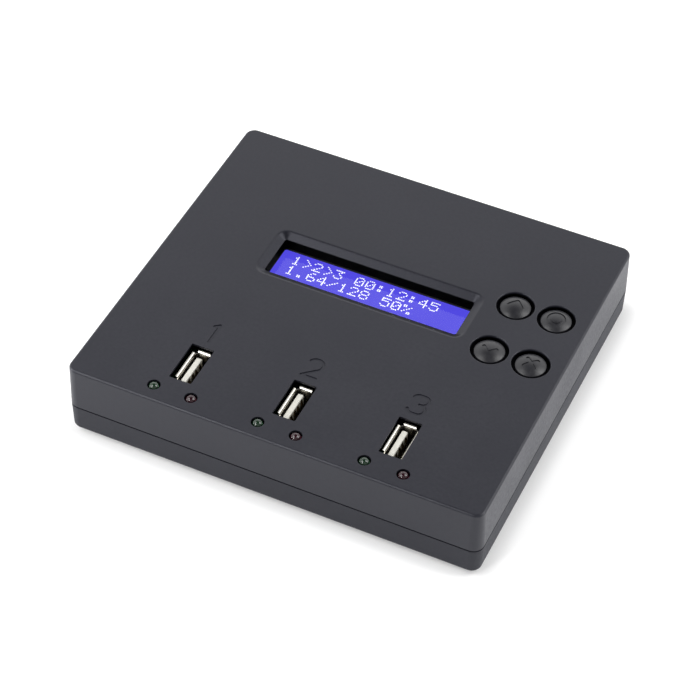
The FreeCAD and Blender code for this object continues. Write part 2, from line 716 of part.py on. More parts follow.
def socket_shell(x):
    """A steel tube that stands on the board, with flared lips at its mouth and legs through the board."""
    tube_top = SOCKET_MOUTH_Z - LIP_BEND - SHELL_SHEET
    outer = (SHELL_INNER[0] + 2 * SHELL_SHEET, SHELL_INNER[1] + 2 * SHELL_SHEET)
    centre = (x, PORT_Y)
    bore_z = (BOARD_TOP - PAST, tube_top + PAST)
    tube = slab(outer, SHELL_CORNER + SHELL_SHEET, (BOARD_TOP, tube_top), 0.0, centre)
    tube = tube.cut(slab(SHELL_INNER, SHELL_CORNER, bore_z, 0.0, centre))
    lips = [long_lip(x, side) for side in (-1, 1)] + [short_lip(x, side) for side in (-1, 1)]
    leg_z = (BOARD_BASE - SHELL_LEG[2], BOARD_TOP + PAST)
    legs = [block_on(p, (SHELL_LEG[1], SHELL_SHEET), leg_z) for p in shell_leg_places(x)]
    windows = []
    fingers = []
    for side in (-1, 1):
        wall = x + side * (SHELL_INNER[0] + SHELL_SHEET) / 2
        for y in (PORT_Y - FINGER_Y, PORT_Y + FINGER_Y):
            windows.append(block_on((wall, y), (2 * SHELL_SHEET, FINGER_WINDOW[0]), FINGER_WINDOW[1:]))
            fingers.append(spring_finger(x, y, side))
    tube = joined([tube] + lips + legs).cut(windows)
    return joined([tube] + fingers)


def socket_insulator(x):
    """The white moulding: a base that fills the shell's foot, and the tongue that stands up from it."""
    face = tongue_face(x)
    base_size = (SHELL_INNER[0] - SOCKET_BASE_FIT, SHELL_INNER[1] - SOCKET_BASE_FIT)
    base = slab(base_size, SOCKET_BASE_CORNER, (BOARD_TOP, SOCKET_BASE_TOP), 0.0, (x, PORT_Y))
    middle = (face - TONGUE_THICKNESS / 2, PORT_Y)
    tongue = block_on(middle, (TONGUE_THICKNESS, TONGUE_WIDTH), (SOCKET_BASE_TOP - PAST, TONGUE_TIP_Z))
    ends = [e for e in edges_at(tongue, TONGUE_TIP_Z) if same(e.BoundBox.YLength, 0)]
    tongue = tongue.makeFillet(TONGUE_CORNER, ends)
    sides = [e for e in edges_at(tongue, TONGUE_TIP_Z) if same(e.BoundBox.XLength, 0)]
    tongue = tongue.makeFillet(TONGUE_TIP_ROUND, sides)
    grooves = []
    for y in CONTACT_Y:
        groove_place = (face - GROOVE_CENTRE, PORT_Y + y)
        slot_place = (face - CONTACT_SHEET / 2, PORT_Y + y)
        grooves.append(block_on(groove_place, GROOVE, (SOCKET_BASE_TOP, TONGUE_TIP_Z - GROOVE_END)))
        grooves.append(block_on(slot_place, CONTACT_SLOT, (BOARD_TOP - PAST, SOCKET_BASE_TOP + PAST)))
    return joined([base, tongue]).cut(grooves)


def socket_contact(x, y):
    """A strip that comes up through the base, lies on the tongue and bows out near its tip."""
    face = tongue_face(x)
    back = face - CONTACT_SHEET
    low = PORT_Y + y - CONTACT_WIDTH / 2
    tail_width, tail_reach = CONTACT_TAIL
    tail_place = (face - CONTACT_SHEET / 2, PORT_Y + y)
    tail = block_on(tail_place, (CONTACT_SHEET, tail_width), (BOARD_BASE - tail_reach, SOCKET_BASE_TOP))
    outline = [Vector(back + bow, low, z) for bow, z in CONTACT_BOW]
    outline += [Vector(face + bow, low, z) for bow, z in reversed(CONTACT_BOW)]
    return joined([tail, prism(outline, Vector(0, CONTACT_WIDTH, 0))])


def lamp(place):
    """A tinted round lamp with a domed end, standing on its spacer."""
    base = LAMP_TOP_Z - LAMP_LENGTH
    dome_z = LAMP_TOP_Z - LAMP_RADIUS
    body = rod(place, LAMP_RADIUS, (base, dome_z))
    dome = Part.makeSphere(LAMP_RADIUS, Vector(place[0], place[1], dome_z))
    flange = rod(place, LAMP_FLANGE_RADIUS, (base, base + LAMP_FLANGE_HEIGHT))
    return joined([body, dome, flange])


def lamp_spacer(place):
    top = LAMP_TOP_Z - LAMP_LENGTH
    spacer = rod(place, LAMP_FLANGE_RADIUS, (BOARD_TOP, top))
    bores = []
    for side in (-1, 1):
        bore_place = (place[0] + side * LEAD_PITCH / 2, place[1])
        bores.append(rod(bore_place, LEAD_BORE, (BOARD_TOP - PAST, top + PAST)))
    return spacer.cut(bores)


def lamp_lead(place):
    z = (BOARD_BASE - LEAD_TAIL, LAMP_TOP_Z - LAMP_LENGTH)
    return block_on(place, (LEAD_SIZE, LEAD_SIZE), z)


def cap_mark(name, place, z):
    """The strokes of the mark on one button: a chevron, a ring, a chevron or a cross."""
    x, y = place
    s = MARK_STROKE
    if name == "select":
        return rod(place, RING_MARK_RADIUS + s / 2, z).cut(rod(place, RING_MARK_RADIUS - s / 2, z))
    if name == "cancel":
        reach = CROSS_REACH
        rising = stroke((x - reach, y - reach), (x + reach, y + reach), s, z)
        falling = stroke((x - reach, y + reach), (x + reach, y - reach), s, z)
        return joined([rising, falling])
    half_width, tip_y = CHEVRON
    foot_y = CHEVRON_UP_Y
    if name == "down":
        foot_y = CHEVRON_DOWN_Y
        tip_y = CHEVRON_DOWN_Y - CHEVRON_DOWN_DEPTH
    return joined([stroke((x + i * half_width, y + foot_y), (x, y + tip_y), s, z) for i in (-1, 1)])


def button_cap(name, place):
    """A round cap with a domed top, a hollow back, a foot on the switch and two ears under the roof."""
    crown_z = CAP_RIM_Z + CAP_CROWN
    ball_radius = (CAP_RADIUS**2 + CAP_CROWN**2) / (2 * CAP_CROWN)
    middle = Vector(place[0], place[1], crown_z - ball_radius)
    cap = rod(place, CAP_RADIUS, (CAP_BASE_Z, crown_z)).common(Part.makeSphere(ball_radius, middle))
    cap = cap.makeFillet(CAP_EDGE_ROUND, edges_at(cap, CAP_RIM_Z))
    ears = block_on(place, (EAR_WIDTH, 2 * EAR_REACH), (CAP_BASE_Z, EAR_TOP_Z))
    cap = joined([cap, ears])
    hollow = rod(place, CAP_RADIUS - CAP_WALL, (CAP_BASE_Z - PAST, CAP_HOLLOW_TOP))
    foot = rod(place, CAP_FOOT_RADIUS, (PLUNGER_TOP_Z, CAP_HOLLOW_TOP + PAST / 2))
    cap = joined([cap.cut(hollow), foot])
    strokes = cap_mark(name, place, (CAP_RIM_Z - PAST, crown_z + PAST))
    return cap.cut(strokes.cut(Part.makeSphere(ball_radius - MARK_DEPTH, middle)))


def switch_levels():
    """Heights in a switch: its cavity's floor, the dome's crown and the top of the body."""
    floor = BOARD_TOP + SWITCH_FLOOR
    return floor, floor + DOME_RISE, BOARD_TOP + SWITCH_BODY_HEIGHT


def switch_plunger(place):
    _, crown, _ = switch_levels()
    foot = rod(place, PLUNGER_FOOT[0], (crown, crown + PLUNGER_FOOT[1]))
    stem = rod(place, PLUNGER_RADIUS, (crown, PLUNGER_TOP_Z))
    return joined([foot, stem])


def switch_dome(place):
    """A thin sprung disc, crowned under the plunger, that snaps down and back."""
    floor, crown, _ = switch_levels()
    radius = (DOME_RADIUS**2 + DOME_RISE**2) / (2 * DOME_RISE)
    middle = Vector(place[0], place[1], crown - radius)
    outer = Part.makeSphere(radius, middle)
    inner = Part.makeSphere(radius - DOME_SHEET, middle)
    return outer.cut(inner).common(rod(place, DOME_RADIUS, (floor, crown + PAST)))


def switch_body(place):
    floor, _, top = switch_levels()
    body = block_on(place, (SWITCH_SIZE, SWITCH_SIZE), (BOARD_TOP, top))
    upright = [e for e in body.Edges if same(e.BoundBox.ZLength, SWITCH_BODY_HEIGHT)]
    body = body.makeFillet(SWITCH_CORNER, upright)
    return body.cut(rod(place, DOME_RADIUS + SWITCH_CLEARANCE, (floor, top + PAST)))


def switch_steel(place):
    """The steel plate over a switch's body, with two side tabs that hold it down."""
    _, _, top = switch_levels()
    plate = block_on(place, (SWITCH_SIZE, SWITCH_SIZE), (top, top + SWITCH_SHEET))
    plate = plate.cut(rod(place, PLUNGER_RADIUS + SWITCH_CLEARANCE, (top - PAST, top + PAST)))
    tab_width, tab_drop = SWITCH_TAB
    tabs = []
    for side in (-1, 1):
        middle = (place[0], place[1] + side * (SWITCH_SIZE + SWITCH_SHEET) / 2)
        tabs.append(block_on(middle, (tab_width, SWITCH_SHEET), (top - tab_drop, top + SWITCH_SHEET)))
    return joined([plate] + tabs)


def switch_terminal(place):
    return block_on(place, TERMINAL, TERMINAL_Z)


def inlet_housing():
    width, depth, height = INLET_SIZE
    back = INLET_FACE_Y - depth
    top = BOARD_TOP + height
    body = block_on((INLET_X, (back + INLET_FACE_Y) / 2), (width, depth), (BOARD_TOP, top))
    body = body.makeFillet(INLET_CORNER, [e for e in edges_at(body, top) if same(e.BoundBox.XLength, 0)])
    bore_y = (INLET_FACE_Y - INLET_BORE_DEPTH, INLET_FACE_Y + PAST)
    bore = rod_along_y(INLET_X, INLET_BORE_Z, INLET_BORE_RADIUS, bore_y)
    seat = rod_along_y(INLET_X, INLET_BORE_Z, INLET_RIVET_RADIUS, (back - PAST, INLET_FACE_Y))
    tail_radius, tail_depth = INLET_TAIL_BORE
    tail_z = (BOARD_TOP - PAST, BOARD_TOP + tail_depth)
    tails = [rod(p, tail_radius, tail_z) for p in inlet_tail_places()]
    return body.cut([bore, seat] + tails)


def inlet_pin():
    """The centre pin, which stands on the bottom of the bore and is riveted through the housing's back."""
    foot = INLET_FACE_Y - INLET_BORE_DEPTH
    tip = foot + INLET_PIN_LENGTH
    back = INLET_FACE_Y - INLET_SIZE[1]
    pin = rod_along_y(INLET_X, INLET_BORE_Z, INLET_PIN_RADIUS, (foot, tip))
    pin = pin.makeFillet(INLET_PIN_ROUND, edges_along_y(pin, tip))
    rivet = rod_along_y(INLET_X, INLET_BORE_Z, INLET_RIVET_RADIUS, (back - INLET_RIVET_TAIL, foot))
    return joined([pin, rivet])


def inlet_tail(place):
    return block_on(place, INLET_TAIL, INLET_TAIL_Z)


def display_board():
    board = block_on(DISPLAY_CENTRE, DISPLAY_BOARD_SIZE, (DISPLAY_BOARD_Z, DISPLAY_BOARD_TOP))
    z = (DISPLAY_BOARD_Z - PAST, DISPLAY_BOARD_TOP + PAST)
    holes = [rod(p, SUPPORT_HOLE, z) for p in support_places()]
    holes += [rod(p, PIN_HOLE, z) for p in header_places()]
    holes += [block_on(p, BEZEL_TAB_SLOT, z) for p in bezel_tab_places()]
    return board.cut(holes)


def bezel_tab_places():
    """Where the bezel's tabs pass through the display board, three along each long side."""
    centre_x, centre_y = DISPLAY_CENTRE
    reach = (BEZEL_SIZE[1] - BEZEL_SHEET) / 2
    return [(centre_x + x, centre_y + side * reach) for x in BEZEL_TAB_X for side in (-1, 1)]


def display_bezel():
    """A folded steel frame over the glass, with a window and tabs through the board."""
    outer = slab(BEZEL_SIZE, BEZEL_CORNER, (DISPLAY_BOARD_TOP, BEZEL_TOP_Z), 0.0, DISPLAY_CENTRE)
    outer = outer.makeFillet(BEZEL_ROUND, edges_at(outer, BEZEL_TOP_Z))
    inside = (BEZEL_SIZE[0] - 2 * BEZEL_SHEET, BEZEL_SIZE[1] - 2 * BEZEL_SHEET)
    hollow_z = (DISPLAY_BOARD_TOP - PAST, BEZEL_TOP_Z - BEZEL_SHEET)
    hollow = slab(inside, BEZEL_CORNER - BEZEL_SHEET, hollow_z, 0.0, DISPLAY_CENTRE)
    view = slab(VIEW_SIZE, VIEW_CORNER, (BEZEL_TOP_Z - PAST, BEZEL_TOP_Z + PAST), 0.0, DISPLAY_CENTRE)
    tab_z = (DISPLAY_BOARD_Z - BEZEL_TAB_REACH, DISPLAY_BOARD_TOP + PAST / 2)
    tabs = [block_on(p, (BEZEL_TAB_WIDTH, BEZEL_SHEET), tab_z) for p in bezel_tab_places()]
    return joined([outer.cut([hollow, view])] + tabs)


def display_stack():
    """Front glass, rear glass, backlight block and the two zebra strips, from the bezel's window down."""
    front_top = BEZEL_TOP_Z - BEZEL_SHEET
    front_base = front_top - FRONT_GLASS[2]
    rear_base = front_base - REAR_GLASS[2]
    front = block_on(DISPLAY_CENTRE, FRONT_GLASS[:2], (front_base, front_top))
    rear = block_on(DISPLAY_CENTRE, REAR_GLASS[:2], (rear_base, front_base))
    light = block_on(DISPLAY_CENTRE, BACKLIGHT, (DISPLAY_BOARD_TOP, rear_base))
    strip_y = FRONT_GLASS[1] / 2 - ZEBRA_WIDTH / 2
    strips = []
    for side in (-1, 1):
        middle = (DISPLAY_CENTRE[0], DISPLAY_CENTRE[1] + side * strip_y)
        strips.append(block_on(middle, (FRONT_GLASS[0], ZEBRA_WIDTH), (DISPLAY_BOARD_TOP, front_base)))
    return front, rear, light, strips


def display_blob(offset):
    """A domed drop of black resin over a bare chip, under the display board."""
    centre = Vector(DISPLAY_CENTRE[0] + offset, DISPLAY_CENTRE[1], DISPLAY_BOARD_Z)
    ball_radius = (BLOB_RADIUS**2 + BLOB_DROP**2) / (2 * BLOB_DROP)
    ball = Part.makeSphere(ball_radius, centre + Vector(0, 0, ball_radius - BLOB_DROP))
    below_board = (DISPLAY_BOARD_Z - BLOB_DROP - PAST, DISPLAY_BOARD_Z)
    return ball.common(rod((centre.x, centre.y), BLOB_RADIUS + PAST, below_board))


def header_strip():
    first, last = header_places()[0], header_places()[-1]
    centre = ((first[0] + last[0]) / 2, first[1])
    strip = block_on(centre, (HEADER_PINS * HEADER_PITCH, HEADER_PITCH), (BOARD_TOP, DISPLAY_BOARD_Z))
    z = (BOARD_TOP - PAST, DISPLAY_BOARD_Z + PAST)
    return strip.cut([block_on(p, (PIN_SIZE, PIN_SIZE), z) for p in header_places()])


def header_pin(place):
    z = (BOARD_BASE - PIN_TAILS[0], DISPLAY_BOARD_TOP + PIN_TAILS[1])
    return block_on(place, (PIN_SIZE, PIN_SIZE), z)


def display_support(place):
    """A nylon pillar between the boards, with a peg and a barb at each end."""
    peg_radius, peg_reach = SUPPORT_PEG
    wide, narrow = BARB_RADII
    x, y = place
    pillar = rod(place, SUPPORT_RADIUS, (BOARD_TOP, DISPLAY_BOARD_Z))
    peg = rod(place, peg_radius, (BOARD_BASE - peg_reach, DISPLAY_BOARD_TOP + peg_reach))
    upper = Part.makeCone(wide, narrow, BARB_LENGTH, Vector(x, y, DISPLAY_BOARD_TOP + BARB_GAP))
    lower = Part.makeCone(narrow, wide, BARB_LENGTH, Vector(x, y, BOARD_BASE - BARB_GAP - BARB_LENGTH))
    return joined([pillar, peg, upper, lower])


def chip(centre, size, height):
    """A square black package with a small round dimple at its first pin."""
    top = BOARD_TOP + CHIP_GAP + height
    package = block_on(centre, (size, size), (BOARD_TOP + CHIP_GAP, top))
    inset = DIMPLE_PLACE - size / 2
    dimple = (centre[0] + inset, centre[1] + inset)
    return package.cut(rod(dimple, DIMPLE_RADIUS, (top - DIMPLE_DEPTH, top + PAST)))


def chip_leads(centre, size, count):
    """The leads on all four sides of a square package."""
    width, reach, thickness = CHIP_LEAD
    start = -CHIP_LEAD_PITCH * (count - 1) / 2
    z = (BOARD_TOP, BOARD_TOP + thickness)
    leads = []
    for side in (-1, 1):
        middle = side * (size + reach) / 2
        for i in range(count):
            step = start + i * CHIP_LEAD_PITCH
            leads.append(block_on((centre[0] + step, centre[1] + middle), (width, reach), z))
            leads.append(block_on((centre[0] + middle, centre[1] + step), (reach, width), z))
    return leads


def crystal():
    top = BOARD_TOP + CRYSTAL_HEIGHT
    can = slab(CRYSTAL_SIZE, CRYSTAL_CORNER, (BOARD_TOP, top), 0.0, CRYSTAL_PLACE)
    return can.makeFillet(CAN_ROUND, edges_at(can, top))


def capacitor(centre, radius, height):
    """An upright can with a crimped groove near its foot."""
    can = rod(centre, radius, (BOARD_TOP, BOARD_TOP + height))
    can = can.makeFillet(CAN_ROUND, edges_at(can, BOARD_TOP + height))
    crimp_place = Vector(centre[0], centre[1], BOARD_TOP + CRIMP_Z)
    return can.cut(Part.makeTorus(radius + CRIMP_OFFSET, CRIMP_RADIUS, crimp_place))


def save_case():
    save("top_cover", top_cover())
    save("bottom_cover", bottom_cover())
    save("rubber_feet", *[rubber_foot(p) for p in four(FOOT_X, FOOT_Y)])
    save("case_screws", *[case_screw(p) for p in four(POST_X, POST_Y)])


def save_main_board():
    save("main_board", main_board())
    save("board_screws", *[board_screw(p) for p in BOARD_POSTS])
    save("controller_chip", chip(*CONTROLLER))
    save("memory_chip", chip(*MEMORY))
    leads = chip_leads(CONTROLLER[0], CONTROLLER[1], CONTROLLER_LEADS)
    leads += chip_leads(MEMORY[0], MEMORY[1], MEMORY_LEADS)
    save("chip_leads", *leads)
    save("crystal", crystal())
    large = [capacitor(p, *LARGE_CAN) for p in LARGE_CAN_PLACES]
    small = [capacitor(p, *SMALL_CAN) for p in SMALL_CAN_PLACES]
    save("capacitors", *large, *small)


def save_sockets():
    for number, x in enumerate(SOCKETS, start=1):
        save(f"socket_shell_{number}", socket_shell(x))
        save(f"socket_insulator_{number}", socket_insulator(x))
        save(f"socket_contacts_{number}", *[socket_contact(x, y) for y in CONTACT_Y])


def save_lamps():
    for colour, places in LAMPS.items():
        for number, place in enumerate(places, start=1):
            save(f"{colour}_lamp_{number}", lamp(place))
    lamps = LAMPS["green"] + LAMPS["red"]
    save("lamp_spacers", *[lamp_spacer(p) for p in lamps])
    save("lamp_leads", *[lamp_lead(p) for p in lead_places()])


def save_buttons():
    for name, place in BUTTONS.items():
        save(f"button_cap_{name}", button_cap(name, place))
        save(f"switch_plunger_{name}", switch_plunger(place))
        save(f"switch_dome_{name}", switch_dome(place))
        save(f"switch_body_{name}", switch_body(place))
    save("switch_steel_covers", *[switch_steel(p) for p in BUTTONS.values()])
    save("switch_terminals", *[switch_terminal(p) for p in terminal_places()])


def save_inlet():
    save("inlet_housing", inlet_housing())
    save("inlet_pin", inlet_pin())
    save("inlet_terminals", *[inlet_tail(p) for p in inlet_tail_places()])


def save_display():
    front, rear, light, strips = display_stack()
    save("display_board", display_board())
    save("display_bezel", display_bezel())
    save("display_front_glass", front)
    save("display_rear_glass", rear)
    save("display_backlight", light)
    save("zebra_strips", *strips)
    save("display_blobs", *[display_blob(x) for x in BLOB_X])
    save("header_strip", header_strip())
    save("header_pins", *[header_pin(p) for p in header_places()])
    save("display_supports", *[display_support(p) for p in support_places()])


save_case()
save_main_board()
save_sockets()
save_lamps()
save_buttons()
save_inlet()
save_display()
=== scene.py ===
import math

import bpy
from mathutils import Matrix, Quaternion, Vector


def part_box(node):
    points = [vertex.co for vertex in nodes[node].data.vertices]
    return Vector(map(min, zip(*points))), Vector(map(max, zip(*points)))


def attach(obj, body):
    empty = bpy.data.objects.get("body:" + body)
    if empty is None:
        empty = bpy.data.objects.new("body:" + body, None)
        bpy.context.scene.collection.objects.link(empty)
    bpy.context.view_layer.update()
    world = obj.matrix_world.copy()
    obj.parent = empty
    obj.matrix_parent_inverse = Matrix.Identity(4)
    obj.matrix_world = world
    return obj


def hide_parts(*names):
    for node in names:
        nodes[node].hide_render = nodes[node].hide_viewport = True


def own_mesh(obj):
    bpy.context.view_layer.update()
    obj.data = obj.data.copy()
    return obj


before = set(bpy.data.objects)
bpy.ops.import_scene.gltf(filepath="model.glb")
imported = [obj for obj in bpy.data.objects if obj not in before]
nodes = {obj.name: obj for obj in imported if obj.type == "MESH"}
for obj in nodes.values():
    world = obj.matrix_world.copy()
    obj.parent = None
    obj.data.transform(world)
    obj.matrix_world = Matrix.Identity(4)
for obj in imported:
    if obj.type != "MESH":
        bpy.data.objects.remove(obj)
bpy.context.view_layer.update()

# The two covers of the case
# Black ABS from one mould each. The steel of the mould is spark-eroded, so the plastic has a fine satin
# grain all over. The lower cover has the same grain, a little coarser.


def put(tree, kind, inputs=None, **settings):
    """Adds a shader node, sets its options, and fills its inputs with values or with links."""
    made = tree.nodes.new(kind)
    for key, value in settings.items():
        setattr(made, key, value)
    for key, value in (inputs or {}).items():
        if isinstance(value, bpy.types.NodeSocket):
            tree.links.new(value, made.inputs[key])
        else:
            made.inputs[key].default_value = value
    return made


def object_place(tree):
    """The place on the piece, in its own coordinates."""
    return put(tree, "ShaderNodeTexCoord").outputs["Object"]


def noise(tree, vector, scale, detail, **more):
    """A grey noise, from 0 to 1."""
    values = {"Vector": vector, "Scale": scale, "Detail": detail, **more}
    return put(tree, "ShaderNodeTexNoise", values).outputs["Fac"]


def calculate(tree, operation, first, second):
    """What a math node makes of two numbers or links."""
    return put(tree, "ShaderNodeMath", {0: first, 1: second}, operation=operation).outputs[0]


def remap(tree, value, given, wanted=(0.0, 1.0), **settings):
    """Runs a value from one range to another."""
    ends = {"From Min": given[0], "From Max": given[1], "To Min": wanted[0], "To Max": wanted[1]}
    return put(tree, "ShaderNodeMapRange", {"Value": value, **ends}, **settings).outputs[0]


def blend(tree, mask, first, second):
    """Runs one colour to another as the mask goes from 0 to 1."""
    colours = {"Factor": mask, "A": first, "B": second}
    return put(tree, "ShaderNodeMix", colours, data_type="RGBA").outputs["Result"]


def new_group(name, inputs, output):
    """An empty shader group with number sockets and one output, and its two end nodes."""
    tree = bpy.data.node_groups.new(name, "ShaderNodeTree")
    for label, value in inputs.items():
        socket = tree.interface.new_socket(label, in_out="INPUT", socket_type="NodeSocketFloat")
        socket.default_value = value
    tree.interface.new_socket(output, in_out="OUTPUT", socket_type="NodeSocketFloat")
    return tree, put(tree, "NodeGroupInput"), put(tree, "NodeGroupOutput")


def new_material(name, **values):
    """A material with its Principled shader set to plain values."""
    material = bpy.data.materials.new(name)
    material.use_nodes = True
    tree = material.node_tree
    shader = tree.nodes["Principled BSDF"]
    for key, value in values.items():
        shader.inputs[key.replace("_", " ")].default_value = value
    return material, tree, shader


def wear(material, *names):
    """Gives CAD nodes one material all over."""
    for name in names:
        nodes[name].data.materials.clear()
        nodes[name].data.materials.append(material)


# Height of a moulded or cast surface: fine grain over soft waves. Scale is in grains per metre.
grain, start, end = new_group("surface grain", {"Scale": 4000.0, "Waves": 0.3}, "Height")
place = object_place(grain)
fine = noise(grain, place, start.outputs["Scale"], 3.0, Roughness=0.6)
soft = noise(grain, place, 90.0, 1.0)
waves = calculate(grain, "MULTIPLY", soft, start.outputs["Waves"])
grain.links.new(calculate(grain, "ADD", fine, waves), end.inputs["Height"])

# Where hands and dust have changed the gloss: large soft patches broken up by small flecks, from 0 to 1.
handling, start, end = new_group("handling marks", {"Patch Scale": 35.0, "Fleck Scale": 900.0}, "Mask")
place = object_place(handling)
patches = noise(handling, place, start.outputs["Patch Scale"], 4.0, Roughness=0.55)
flecks = noise(handling, place, start.outputs["Fleck Scale"], 2.0)
marks = calculate(handling, "MULTIPLY", patches, flecks)
handling.links.new(remap(handling, marks, (0.15, 0.4)), end.inputs["Mask"])

# A mask by height: 0 at the height Start, 1 at the height Full.
level_mask, start, end = new_group("level mask", {"Start": 0.0243, "Full": 0.0218}, "Mask")
axes = put(level_mask, "ShaderNodeSeparateXYZ", {"Vector": object_place(level_mask)})
height = remap(level_mask, axes.outputs["Z"], (start.outputs["Start"], start.outputs["Full"]))
level_mask.links.new(height, end.inputs["Mask"])


def use(tree, group, **values):
    """What a shared group gives in a material, with this material's own values."""
    made = put(tree, "ShaderNodeGroup", node_tree=group)
    for key, value in values.items():
        made.inputs[key.replace("_", " ")].default_value = value
    return made.outputs[0]


def shade(tree, shader, mask, dark, light, smooth, rough):
    """Lets a mask run the colour from dark to light and the roughness from smooth to rough."""
    tree.links.new(blend(tree, mask, dark, light), shader.inputs["Base Color"])
    tree.links.new(remap(tree, mask, (0.0, 1.0), (smooth, rough)), shader.inputs["Roughness"])


def paint_shade_colour(material, mask, colour):
    """Runs a material's colour to another one where the mask is 1; every use here paints shade."""
    tree = material.node_tree
    shader = tree.nodes["Principled BSDF"]
    before = shader.inputs["Base Color"].links[0].from_socket
    tree.links.new(blend(tree, mask, before, colour), shader.inputs["Base Color"])


def paint_out_shine(material, mask):
    """Turns the shader to a metal where the mask is 1; on a near-black colour this takes the plastic's
    reflection away, as painted shade.
    """
    tree = material.node_tree
    tree.links.new(mask, tree.nodes["Principled BSDF"].inputs["Metallic"])


def raise_surface(tree, shader, height, depth):
    """Bumps a surface by a height that is depth metres at its full value."""
    bump = put(tree, "ShaderNodeBump", {"Height": height, "Distance": depth, "Strength": 1.0})
    tree.links.new(bump.outputs[0], shader.inputs["Normal"])


def moulded(name, dark, light, smooth, rough, scale, depth, **values):
    """A moulded plastic or rubber: grain, and handling marks in its colour and gloss."""
    material, tree, shader = new_material(name, **values)
    shade(tree, shader, use(tree, handling), dark, light, smooth, rough)
    raise_surface(tree, shader, use(tree, grain, Scale=scale), depth)
    return material


cool_tint = (0.93, 0.94, 1.0, 1)
upper_black = moulded(
    "upper cover black", (0.0125, 0.0128, 0.0185, 1), (0.017, 0.0173, 0.0235, 1), 0.30, 0.40, 4200.0, 0.000012,
    Specular_Tint=cool_tint, Specular_IOR_Level=0.37)
# The lower cover is darker than the upper one: painted shade, for the shadowed table that its walls mirror near
# the foot.
lower_black_shaded = moulded(
    "lower cover black", (0.009, 0.0093, 0.0145, 1), (0.0125, 0.0128, 0.018, 1), 0.50, 0.60, 3600.0, 0.000014,
    Specular_Tint=cool_tint, Specular_IOR_Level=0.38)
wear(upper_black, "top_cover")
wear(lower_black_shaded, "bottom_cover")

# The lip that locates the covers shows only in the seam. There its colour is run to near black and its
# reflection is taken away: painted shade.
seam_foot, seam_top = 0.01112, 0.01132
painted_seam_shade = (0.002, 0.002, 0.002, 1)
seam = use(lower_black_shaded.node_tree, level_mask, Start=seam_foot, Full=seam_top)
paint_shade_colour(lower_black_shaded, seam, painted_seam_shade)
paint_out_shine(lower_black_shaded, seam)

# Inside the openings, below their rims, the plastic's colour is run to near black and its reflection is taken
# away: painted shade on the walls of the holes. The display's opening has a bevel, so there the change lies
# lower.
display_right, display_front = 0.0365, -0.02
inner_walls = (0.0645, 0.0585)
rim_level, full_shade_level = 0.0261, 0.0256
bevel_drop = 0.0009
bevel_top, bevel_foot = 0.02655, 0.0264
bevel_painted_shade = 0.35
painted_inner_shade = (0.003, 0.003, 0.0035, 1)
tree = upper_black.node_tree
place = object_place(tree)
axes = put(tree, "ShaderNodeSeparateXYZ", {"Vector": place})
left_part = calculate(tree, "LESS_THAN", axes.outputs["X"], display_right)
rear_part = calculate(tree, "GREATER_THAN", axes.outputs["Y"], display_front)
bevelled = calculate(tree, "MULTIPLY", left_part, rear_part)
level = calculate(tree, "ADD", axes.outputs["Z"], calculate(tree, "MULTIPLY", bevelled, bevel_drop))
sunk = remap(tree, level, (rim_level, full_shade_level))
folded = put(tree, "ShaderNodeVectorMath", {0: place}, operation="ABSOLUTE")
sides = put(tree, "ShaderNodeSeparateXYZ", {"Vector": folded.outputs[0]})
within_x = calculate(tree, "LESS_THAN", sides.outputs["X"], inner_walls[0])
within_y = calculate(tree, "LESS_THAN", sides.outputs["Y"], inner_walls[1])
within = calculate(tree, "MULTIPLY", within_x, within_y)
inside = calculate(tree, "MULTIPLY", within, sunk)
paint_shade_colour(upper_black, inside, painted_inner_shade)
# The bevel's reflection is partly taken away as well: painted shade.
slope = remap(tree, axes.outputs["Z"], (bevel_top, bevel_foot), (0.0, bevel_painted_shade))
on_bevel = calculate(tree, "MULTIPLY", calculate(tree, "MULTIPLY", within, bevelled), slope)
paint_out_shine(upper_black, calculate(tree, "MAXIMUM", inside, on_bevel))

# The feet and the screws of the case
# Four black rubber discs are glued into shallow seats in the floor. Beside them, four zinc-plated steel screws
# sit deep in their posts.
rubber = moulded("foot rubber", (0.012, 0.012, 0.012, 1), (0.03, 0.03, 0.03, 1), 0.75, 0.9, 2200.0, 0.00003)
wear(rubber, "rubber_feet")

# Height of a drawn or brushed metal: fine lines that run along the axis with the smallest stretch.
drawing, start, end = new_group("drawn lines", {"X": 1.0, "Y": 1.0, "Z": 1.0, "Scale": 2500.0}, "Height")
stretch = put(drawing, "ShaderNodeCombineXYZ", {axis: start.outputs[axis] for axis in "XYZ"})
product = {0: object_place(drawing), 1: stretch.outputs[0]}
lines = put(drawing, "ShaderNodeVectorMath", product, operation="MULTIPLY")
streaks = noise(drawing, lines.outputs[0], start.outputs["Scale"], 3.0)
drawing.links.new(streaks, end.inputs["Height"])


def plated(name, colour, dull, smooth, rough, stretch, scale, depth):
    """A drawn or brushed metal, with its stretch on the three axes."""
    material, tree, shader = new_material(name, Metallic=1.0)
    marks = use(tree, handling, Patch_Scale=120.0, Fleck_Scale=2500.0)
    shade(tree, shader, marks, dull, colour, rough, smooth)
    surface = use(tree, drawing, X=stretch[0], Y=stretch[1], Z=stretch[2], Scale=scale)
    raise_surface(tree, shader, surface, depth)
    return material


zinc = plated(
    "zinc-plated screw", (0.50, 0.50, 0.50, 1), (0.36, 0.36, 0.37, 1), 0.25, 0.42, (1, 1, 0.2), 3000.0, 0.000008)
wear(zinc, "case_screws", "board_screws")

# The two circuit boards
# Glass-epoxy sheet under green lacquer. The lacquer lies thinner over the copper tracks, so they show as paler,
# slightly raised lines.

# Where the copper runs: the joints of a brick pattern, 1 on a track.
copper, start, end = new_group("copper tracks", {"Scale": 180.0, "Width": 0.045}, "Mask")
bricks = {"Vector": object_place(copper), "Scale": start.outputs["Scale"], "Mortar Size": start.outputs["Width"]}
bricks.update({"Mortar Smooth": 0.2, "Brick Width": 2.5, "Row Height": 0.55})
cells = put(copper, "ShaderNodeTexBrick", bricks)
copper.links.new(cells.outputs["Fac"], end.inputs["Mask"])


